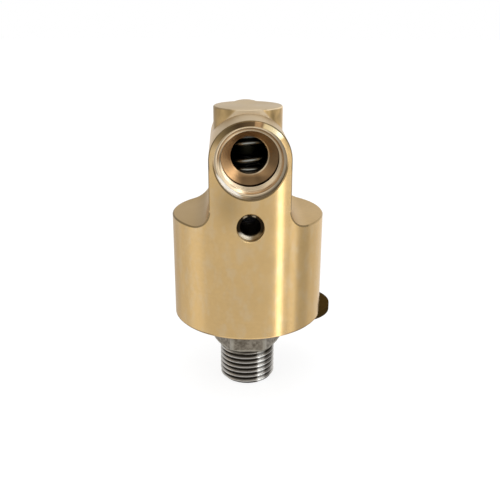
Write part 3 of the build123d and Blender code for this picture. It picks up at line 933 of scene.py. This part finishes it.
def brass_finish(colours):
    """Satin brass of the housing: a tone for each way it was cut, painted light and shade on some
    faces, then on its edges and hollows.
    """
    finish = Finish(
        "housing_brass_satin",
        Anisotropic=0.55,
        Anisotropic_Rotation=0.25,
        Specular_Tint=rgba((0.95, 0.88, 0.78)),
    )
    x, y, z = finish.x, finish.y, finish.z
    areas = HousingAreas(finish)
    turned, milled, neck, seat = areas.turned, areas.milled, areas.neck, areas.seat
    brass, pale = colours.brass, colours.brass_pale

    lathe = finish.rings(0.32)
    patches = finish.blotches(9.0)
    mill = finish.drawn(0.12 * x, 2.6 * y, 0.5 * z)
    bore = finish.drawn(areas.port_r, y, 0.05 * x, 2.2)
    floor_marks = finish.drawn(0.25 * (x + y), 1.1 * (x - y), 0, detail=4.0, rough=0.7)
    stub_shade_mottle = finish.drawn(0.35 * x, 0.35 * y, 0.3 * z).rise(0.3, 0.7)

    # Painted shade: a soft dark patch on the bar below the port, left of centre.
    shade_below_port = turned * finish.length((x + 5.5) / 6.0, (z - 47.0) / 9.0).rise(1.0, 0.0)
    # Painted highlights: two small glints high in the drain's counterbore.
    drain_glints = areas.drain_up.near(2.5, 0.6) * (x.near(-1.3, 0.7) + x.near(0.9, 0.6))
    # Painted shade: a dark line round the seat's edge at the lower right.
    seat_edge_shade = areas.port_r.near(PORT_SEAT_R + 0.05, 0.22) * areas.in_port
    seat_edge_shade = seat_edge_shade * areas.port_up.rise(0.5, -1.5) * x.rise(-2.0, 1.0)
    base = finish.laid(
        bar_tone(finish, areas, colours, patches, lathe),
        # faces turned up: pale, partly milled finish and partly painted light from above
        (milled * (0.75 + 0.25 * mill), pale),
        (areas.floor, shoulder_tone(finish, colours, floor_marks)),
        (0.6 * shade_below_port, shade(brass, 0.55)),
        # painted reflection: the neck painted pale for the pale faces and sky it mirrors
        (0.9 * neck, shade(pale, 1.3)),
        # painted shade on the stub's walls, mottled and deeper on the left
        (0.8 * areas.stub_wall, finish.toned(stub_shade_mottle, brass, 0.5, 1.0)),
        (0.5 * areas.stub_wall * x.rise(0.0, -3.0), shade(brass, 0.4)),
        (areas.in_port, cone_tone(finish, areas, colours)),
        (seat, seat_tone(finish, areas, colours)),
        (areas.rim, rim_reflections(finish, areas, colours)),
        # painted shade: the drain hole near black
        (areas.drain, DRAIN_SHADE_BLACK),
        # painted highlight on the drain's lip at the left, painted shade on it at the right
        (areas.lip, finish.mix(x.rise(-1.0, 1.0), LIP_GLINT, shade(brass, 0.4))),
        (0.7 * areas.drain * drain_glints, pale),
        (0.9 * seat_edge_shade, SEAT_EDGE_SHADE_BROWN),
        # painted shade along the milled edges
        (edge_shade_lines(finish, areas), EDGE_SHADE_BROWN),
        # painted highlight along the foot's edge, then painted shade on it at the sides
        (0.8 * areas.foot_edge_highlight_shade, shade(brass, 1.45)),
        (0.95 * areas.foot_edge_highlight_shade * abs(x).rise(7.0, 12.0), FOOT_SHADE_BROWN),
        # painted highlight on the disc's front edge at the right
        (0.8 * areas.disc_edge_shade_highlight * x.rise(-1.0, 1.0), shade(pale, 1.8)),
        # painted shade: the chamber above the spring's roof near black
        (areas.inside, CHAMBER_SHADE_BLACK),
    )
    rough = 0.25 + 0.10 * patches + 0.08 * milled - 0.06 * areas.in_port
    dull = 0.85 * neck + 0.7 * seat * y.rise(-17.0, -18.0) + 0.9 * areas.lip
    finish.set(Base_Color=base, Metallic=1 - dull)
    finish.set(Roughness=rough - 0.06 * turned + 0.2 * neck + 0.2 * seat)
    height = lathe * turned + mill * milled + bore * areas.in_port + floor_marks * areas.floor
    finish.relief(height + 0.25 * finish.blotches(1.2), 0.012, 0.6)
    return finish


def port_finish(colours):
    """Brass of the cut thread: pale crests, warm roots darkened by painted shade, a painted glint
    at the lower left.
    """
    finish = Finish("inlet_thread_brass", Metallic=1.0)
    x, y, z = finish.x, finish.y, finish.z
    warm, pale = colours.brass_warm, colours.brass_pale
    crest = finish.length(x, z - PORT_Z).rise(8.1, 7.55)
    streaks = finish.drawn(0.4 * x, 6.0 * y, 0.4 * z, detail=3.0)
    # painted highlight at the lower left of the thread
    lit = (x + z - PORT_Z).rise(-7.0, -10.0) * x.rise(-0.5, -3.0)
    base = finish.laid(
        finish.mix(crest, shade(warm, 0.6), shade(pale, 1.05)),
        (0.3 * streaks, shade(warm, 0.9)),
        (0.8 * lit, shade(pale, 1.9)),
    )
    finish.set(Base_Color=base, Roughness=0.22 + 0.12 * streaks)
    finish.relief(streaks, 0.01, 0.5)
    return finish


def stainless_finish(colours):
    """Turned stainless: fine lines, a scuffed milled hexagon with painted highlights and painted
    shadow, dark roots of painted shade in the thread, a painted glint.
    """
    finish = Finish(
        "rotor_stainless_turned", Metallic=1.0, Anisotropic=0.5, Anisotropic_Rotation=0.25
    )
    z, radius = finish.z, finish.radius
    lathe = finish.rings(0.22)
    patches = finish.blotches(3.0)
    threaded = z.rise(0.0, -0.3)
    hexed = z.rise(-0.2, 0.05) * z.rise(HEX_TOP_Z + 0.05, HEX_TOP_Z - 0.05)
    hexed = hexed * radius.rise(6.8, 7.6)
    # painted shade in the thread's roots, and a painted glint on its front at the right
    root = threaded * radius.rise(7.85, 7.35) * radius.rise(6.2, 6.9)
    glint = threaded * finish.x.near(3.9, 1.5) * finish.y.rise(0.0, -1.0)
    scuffs = finish.blotches(0.9, 5.0).rise(0.28, 0.72)
    hex_tone = finish.laid(
        finish.mix(scuffs, (0.12, 0.10, 0.075), (0.29, 0.255, 0.205)),
        # painted highlights on the hexagon's corners and lower chamfer
        (0.5 * radius.rise(9.3, 9.65), (0.50, 0.47, 0.40)),
        (0.45 * z.rise(0.62, 0.5), (0.48, 0.45, 0.38)),
        # painted shadow on the hexagon under the housing
        (0.6 * z.rise(2.6, 5.5), (0.06, 0.05, 0.035)),
    )
    base = finish.laid(
        finish.toned(patches, colours.stainless, 0.9, 1.1),
        (hexed, hex_tone),
        (root, (0.05, 0.042, 0.032)),
        (glint * (0.9 - 0.6 * root), (0.95, 0.95, 0.93)),
    )
    finish.set(Base_Color=base, Roughness=0.26 + 0.12 * hexed + 0.08 * patches + 0.1 * root)
    finish.relief(lathe + 0.8 * finish.blotches(0.5) * hexed, 0.010, 0.6)
    return finish


def ground_finish(name, colour):
    """Ground or finely turned steel, with rings round the axis."""
    finish = Finish(name, Metallic=1.0, Anisotropic=0.4, Anisotropic_Rotation=0.25)
    rings = finish.rings(0.15)
    base = finish.toned(finish.blotches(2.5), colour, 0.9, 1.08)
    finish.set(Base_Color=base, Roughness=0.16 + 0.12 * rings)
    finish.relief(rings, 0.004, 0.5)
    return finish


def ball_finish():
    """Polished balls with a faint oily film."""
    finish = Finish("ball_polished_steel", Metallic=1.0)
    film = finish.blotches(1.4)
    base = finish.mix(film, (0.74, 0.74, 0.73), (0.82, 0.82, 0.82))
    finish.set(Base_Color=base, Roughness=0.05 + 0.06 * film)
    return finish


def pressed_finish(name, colour):
    """Pressed sheet steel, dull with faint rolling streaks."""
    finish = Finish(name, Metallic=1.0)
    streaks = finish.drawn(0.3 * finish.x, 3.0 * finish.y, finish.z, detail=3.0)
    uneven = 0.6 * finish.blotches(3.5) + 0.4 * streaks
    finish.set(Base_Color=finish.toned(uneven, colour, 0.85, 1.1))
    finish.set(Roughness=0.32 + 0.14 * streaks)
    finish.relief(streaks, 0.005, 0.4)
    return finish


def phosphate_finish(name):
    """Dark phosphated or blackened steel, faintly grained, brighter where it has rubbed."""
    finish = Finish(name, Metallic=0.85)
    grain = finish.blotches(0.25, 4.0)
    rubbed = finish.blotches(1.8).rise(0.55, 0.75)
    base = finish.mix(grain, (0.035, 0.033, 0.03), (0.075, 0.07, 0.062))
    base = finish.mix(0.5 * rubbed, base, (0.20, 0.19, 0.175))
    finish.set(Base_Color=base, Roughness=0.5 - 0.16 * rubbed + 0.1 * grain)
    finish.relief(grain, 0.006, 0.5)
    return finish


def tab_dark_finish(colours):
    """Dark brown sheet steel, with a darker edge of painted shade."""
    finish = Finish("torque_tab_dark_brown", Metallic=0.0, Specular_IOR_Level=0.0)
    grain = finish.blotches(0.35, 4.0)
    uneven = 0.6 * finish.blotches(2.4) + 0.3 * grain
    # painted shade: the tab's sides darker than its flat faces
    edge = abs(finish.facing_up).rise(0.6, 0.3)
    base = finish.toned(uneven, colours.tab_dark_brown, 0.75, 1.25)
    base = finish.mix(0.5 * edge, base, shade(colours.tab_dark_brown, 0.4))
    finish.set(Base_Color=base, Roughness=0.38 + 0.14 * grain)
    finish.relief(grain, 0.006, 0.5)
    return finish


def wire_finish():
    """Drawn spring wire: painted bright where the port lights it, painted dark in the shade
    elsewhere, with faint draw lines.
    """
    finish = Finish("seal_spring_drawn_wire", Metallic=1.0)
    lines = finish.drawn(finish.radius, 0.1 * finish.x, finish.z, 5.0)
    below_roof = finish.z.rise(PORT_Z + 3.15, PORT_Z + 2.45)
    # painted light at the front of the coil below the roof, painted shade behind and above
    lit = finish.y.rise(-4.6, -5.8) * (0.2 + 0.8 * below_roof)
    wire = finish.mix(lines, (0.20, 0.20, 0.18), (0.36, 0.36, 0.33))
    base = finish.mix(lit, (0.02, 0.02, 0.019), wire)
    finish.set(Base_Color=base, Roughness=0.2 + 0.1 * lines)
    finish.relief(lines, 0.004, 0.4)
    return finish


def polymer_finish(name, colour):
    """Moulded polymer: matt with a slight sheen and uneven tone."""
    finish = Finish(name, Metallic=0.0)
    grain = finish.blotches(0.2)
    base = finish.toned(finish.blotches(1.5), colour, 0.88, 1.06)
    finish.set(Base_Color=base, Roughness=0.42 + 0.12 * grain)
    finish.relief(grain, 0.004, 0.4)
    return finish


def ceramic_finish():
    """Lapped silicon carbide: dark grey with a fine sparkle."""
    finish = Finish("rotating_ring_ceramic", Metallic=0.0)
    sparkle = finish.blotches(0.12, 2.0)
    base = finish.mix(sparkle, (0.045, 0.048, 0.055), (0.12, 0.125, 0.14))
    finish.set(Base_Color=base, Roughness=0.14 + 0.12 * sparkle)
    finish.relief(sparkle, 0.002, 0.3)
    return finish


def carbon_finish():
    """Lapped carbon graphite: soft black with greyish turning lines."""
    finish = Finish("stationary_ring_carbon", Metallic=0.0)
    grain = finish.blotches(0.3, 4.0)
    uneven = 0.5 * grain + 0.3 * finish.rings(0.2)
    base = finish.mix(uneven, (0.012, 0.012, 0.013), (0.05, 0.05, 0.053))
    finish.set(Base_Color=base, Roughness=0.34 + 0.16 * grain)
    finish.relief(grain, 0.004, 0.4)
    return finish


def rubber_finish():
    """Black nitrile rubber with a faint bloom."""
    finish = Finish("oring_black_rubber", Metallic=0.0)
    bloom = finish.blotches(0.8)
    base = finish.mix(bloom, (0.010, 0.010, 0.010), (0.028, 0.028, 0.028))
    finish.set(Base_Color=base, Roughness=0.5 + 0.2 * bloom)
    finish.relief(finish.blotches(0.2), 0.004, 0.4)
    return finish


def make_floor():
    """A pale floor under the thread's end, which takes the object's shadow."""
    half, level = 2.5, ROTOR_FOOT_Z * MM
    pale, glow_level, glow_share = 0.92, 1.14, 0.72
    corners = [(-half, -half), (half, -half), (half, half), (-half, half)]
    mesh = bpy.data.meshes.new("floor")
    mesh.from_pydata([(x, y, level) for x, y in corners], [], [(0, 1, 2, 3)])
    floor = bpy.data.objects.new("floor", mesh)
    bpy.context.scene.collection.objects.link(floor)
    floor.visible_glossy = False
    floor.visible_shadow = False
    material = bpy.data.materials.new("floor_pale")
    material.use_nodes = True
    sheet = Sheet(material.node_tree)
    matt = sheet.node("ShaderNodeBsdfDiffuse", None, {"Color": rgba(pale)})
    seen = sheet.node("ShaderNodeLightPath", output="Is Camera Ray")
    light = {"Color": rgba(1.0), "Strength": glow_level}
    glow = sheet.node("ShaderNodeEmission", None, light)
    both = sheet.node("ShaderNodeMixShader", None, {0: glow_share * seen, 1: matt, 2: glow})
    sheet.node("ShaderNodeOutputMaterial", None, {0: both})
    floor.data.materials.append(material)


def make_dome(scene, strength):
    """White tent: pure white behind the object, and soft upright bands in what metal mirrors."""
    world = bpy.data.worlds.new("tent")
    world.use_nodes = True
    scene.world = world
    sheet = Sheet(world.node_tree)
    x, y, z = sheet.axes(sheet.node("ShaderNodeTexCoord", output="Generated"))
    flat = sheet.length(x, y)
    # Azimuth from the front, half widths of the full and the fading part, all in degrees, and gain
    bands = (
        (48.0, 2.0, 5.0, 3.3),
        (71.0, 3.0, 9.0, 0.5),
        (-88.0, 4.0, 20.0, 0.28),
        (93.0, 6.0, 18.0, -0.30),
        (150.0, 10.0, 26.0, 0.15),
        (-150.0, 8.0, 24.0, -0.2),
    )
    level = 1.0
    for azimuth, core, reach, gain in bands:
        turn = math.radians(azimuth)
        aligned = (x * math.sin(turn) - y * math.cos(turn)) / flat
        band = aligned.rise(math.cos(math.radians(reach)), math.cos(math.radians(core)))
        level = gain * band + level
    camera, glossy, through = (
        sheet.node("ShaderNodeLightPath", output=f"Is {kind} Ray")
        for kind in ("Camera", "Glossy", "Transmission")
    )
    mirrored = glossy.math("ADD", glossy, through, clamp=True)
    level = level * (strength + (1 - strength) * mirrored) * (0.86 + 0.14 * z.rise(-0.6, 0.5))
    level = level * (1 - camera) + camera
    tent = sheet.node("ShaderNodeBackground", None, {"Color": rgba(1.0), "Strength": level})
    sheet.node("ShaderNodeOutputWorld", None, {0: tent})


def make_lamps(power):
    """One large soft lamp overhead and a smaller one at the left front."""
    places = (
        ("lamp_overhead", (0.05, -0.15, 0.55), 0.5, power),
        ("lamp_left", (-0.35, -0.40, 0.30), 0.3, 0.4 * power),
    )
    target = Vector((0, 0, 0.03))
    for name, place, size, watts in places:
        data = bpy.data.lights.new(name, "AREA")
        data.shape = "SQUARE"
        data.size = size
        data.energy = watts
        lamp = bpy.data.objects.new(name, data)
        lamp.location = place
        lamp.rotation_mode = "QUATERNION"
        lamp.rotation_quaternion = (target - Vector(place)).to_track_quat("-Z", "Y")
        bpy.context.scene.collection.objects.link(lamp)


def make_camera(scene, lens):
    """The camera where the photograph was taken from: in front, about 20 degrees above."""
    place = Vector((-6.60, -182.88, 92.9)) * MM
    ahead = Vector((0.0376, 0.9420, -0.3335)).normalized()
    roll = math.radians(0.26)
    right = ahead.cross(Vector((0, 0, 1))).normalized()
    above = right.cross(ahead)
    right, above = (
        math.cos(roll) * right + math.sin(roll) * above,
        math.cos(roll) * above - math.sin(roll) * right,
    )
    data = bpy.data.cameras.new("camera")
    data.lens = lens
    data.sensor_width = 36.0
    data.clip_start, data.clip_end = 0.01, 10.0
    camera = bpy.data.objects.new("camera", data)
    turn = Matrix((right, above, -ahead)).transposed()
    camera.matrix_world = Matrix.Translation(place) @ turn.to_4x4()
    scene.collection.objects.link(camera)
    scene.camera = camera


OPERATORS = (
    UNION_OT_housing,
    UNION_OT_rotor,
    UNION_OT_port_thread,
    UNION_OT_seal_spring,
    UNION_OT_bearings,
    UNION_OT_clips,
    UNION_OT_seal,
    UNION_OT_torque_tab,
    UNION_OT_stage,
)
GROUPS = (
    (ThreadSizes, "union_threads", "Threads"),
    (SpringSizes, "union_spring", "Seal spring"),
    (FinishColours, "union_colours", "Colours"),
    (StageSettings, "union_stage", "Stage"),
)


def register():
    """Registers the groups, the operators and the panel."""
    for group, name, _ in GROUPS:
        bpy.utils.register_class(group)
        setattr(bpy.types.Scene, name, PointerProperty(type=group))
    for operator in OPERATORS:
        bpy.utils.register_class(operator)
    bpy.utils.register_class(UNION_PT_panel)


def unregister():
    """Takes all of them off again."""
    bpy.utils.unregister_class(UNION_PT_panel)
    for operator in reversed(OPERATORS):
        bpy.utils.unregister_class(operator)
    for group, name, _ in reversed(GROUPS):
        delattr(bpy.types.Scene, name)
        bpy.utils.unregister_class(group)


def main():
    """Builds everything in order."""
    register()
    bpy.ops.union.housing()
    bpy.ops.union.rotor()
    bpy.ops.union.port_thread()
    bpy.ops.union.seal_spring()
    bpy.ops.union.bearings()
    bpy.ops.union.clips()
    bpy.ops.union.seal()
    bpy.ops.union.torque_tab()
    bpy.ops.union.stage()


if __name__ == "__main__":
    main()
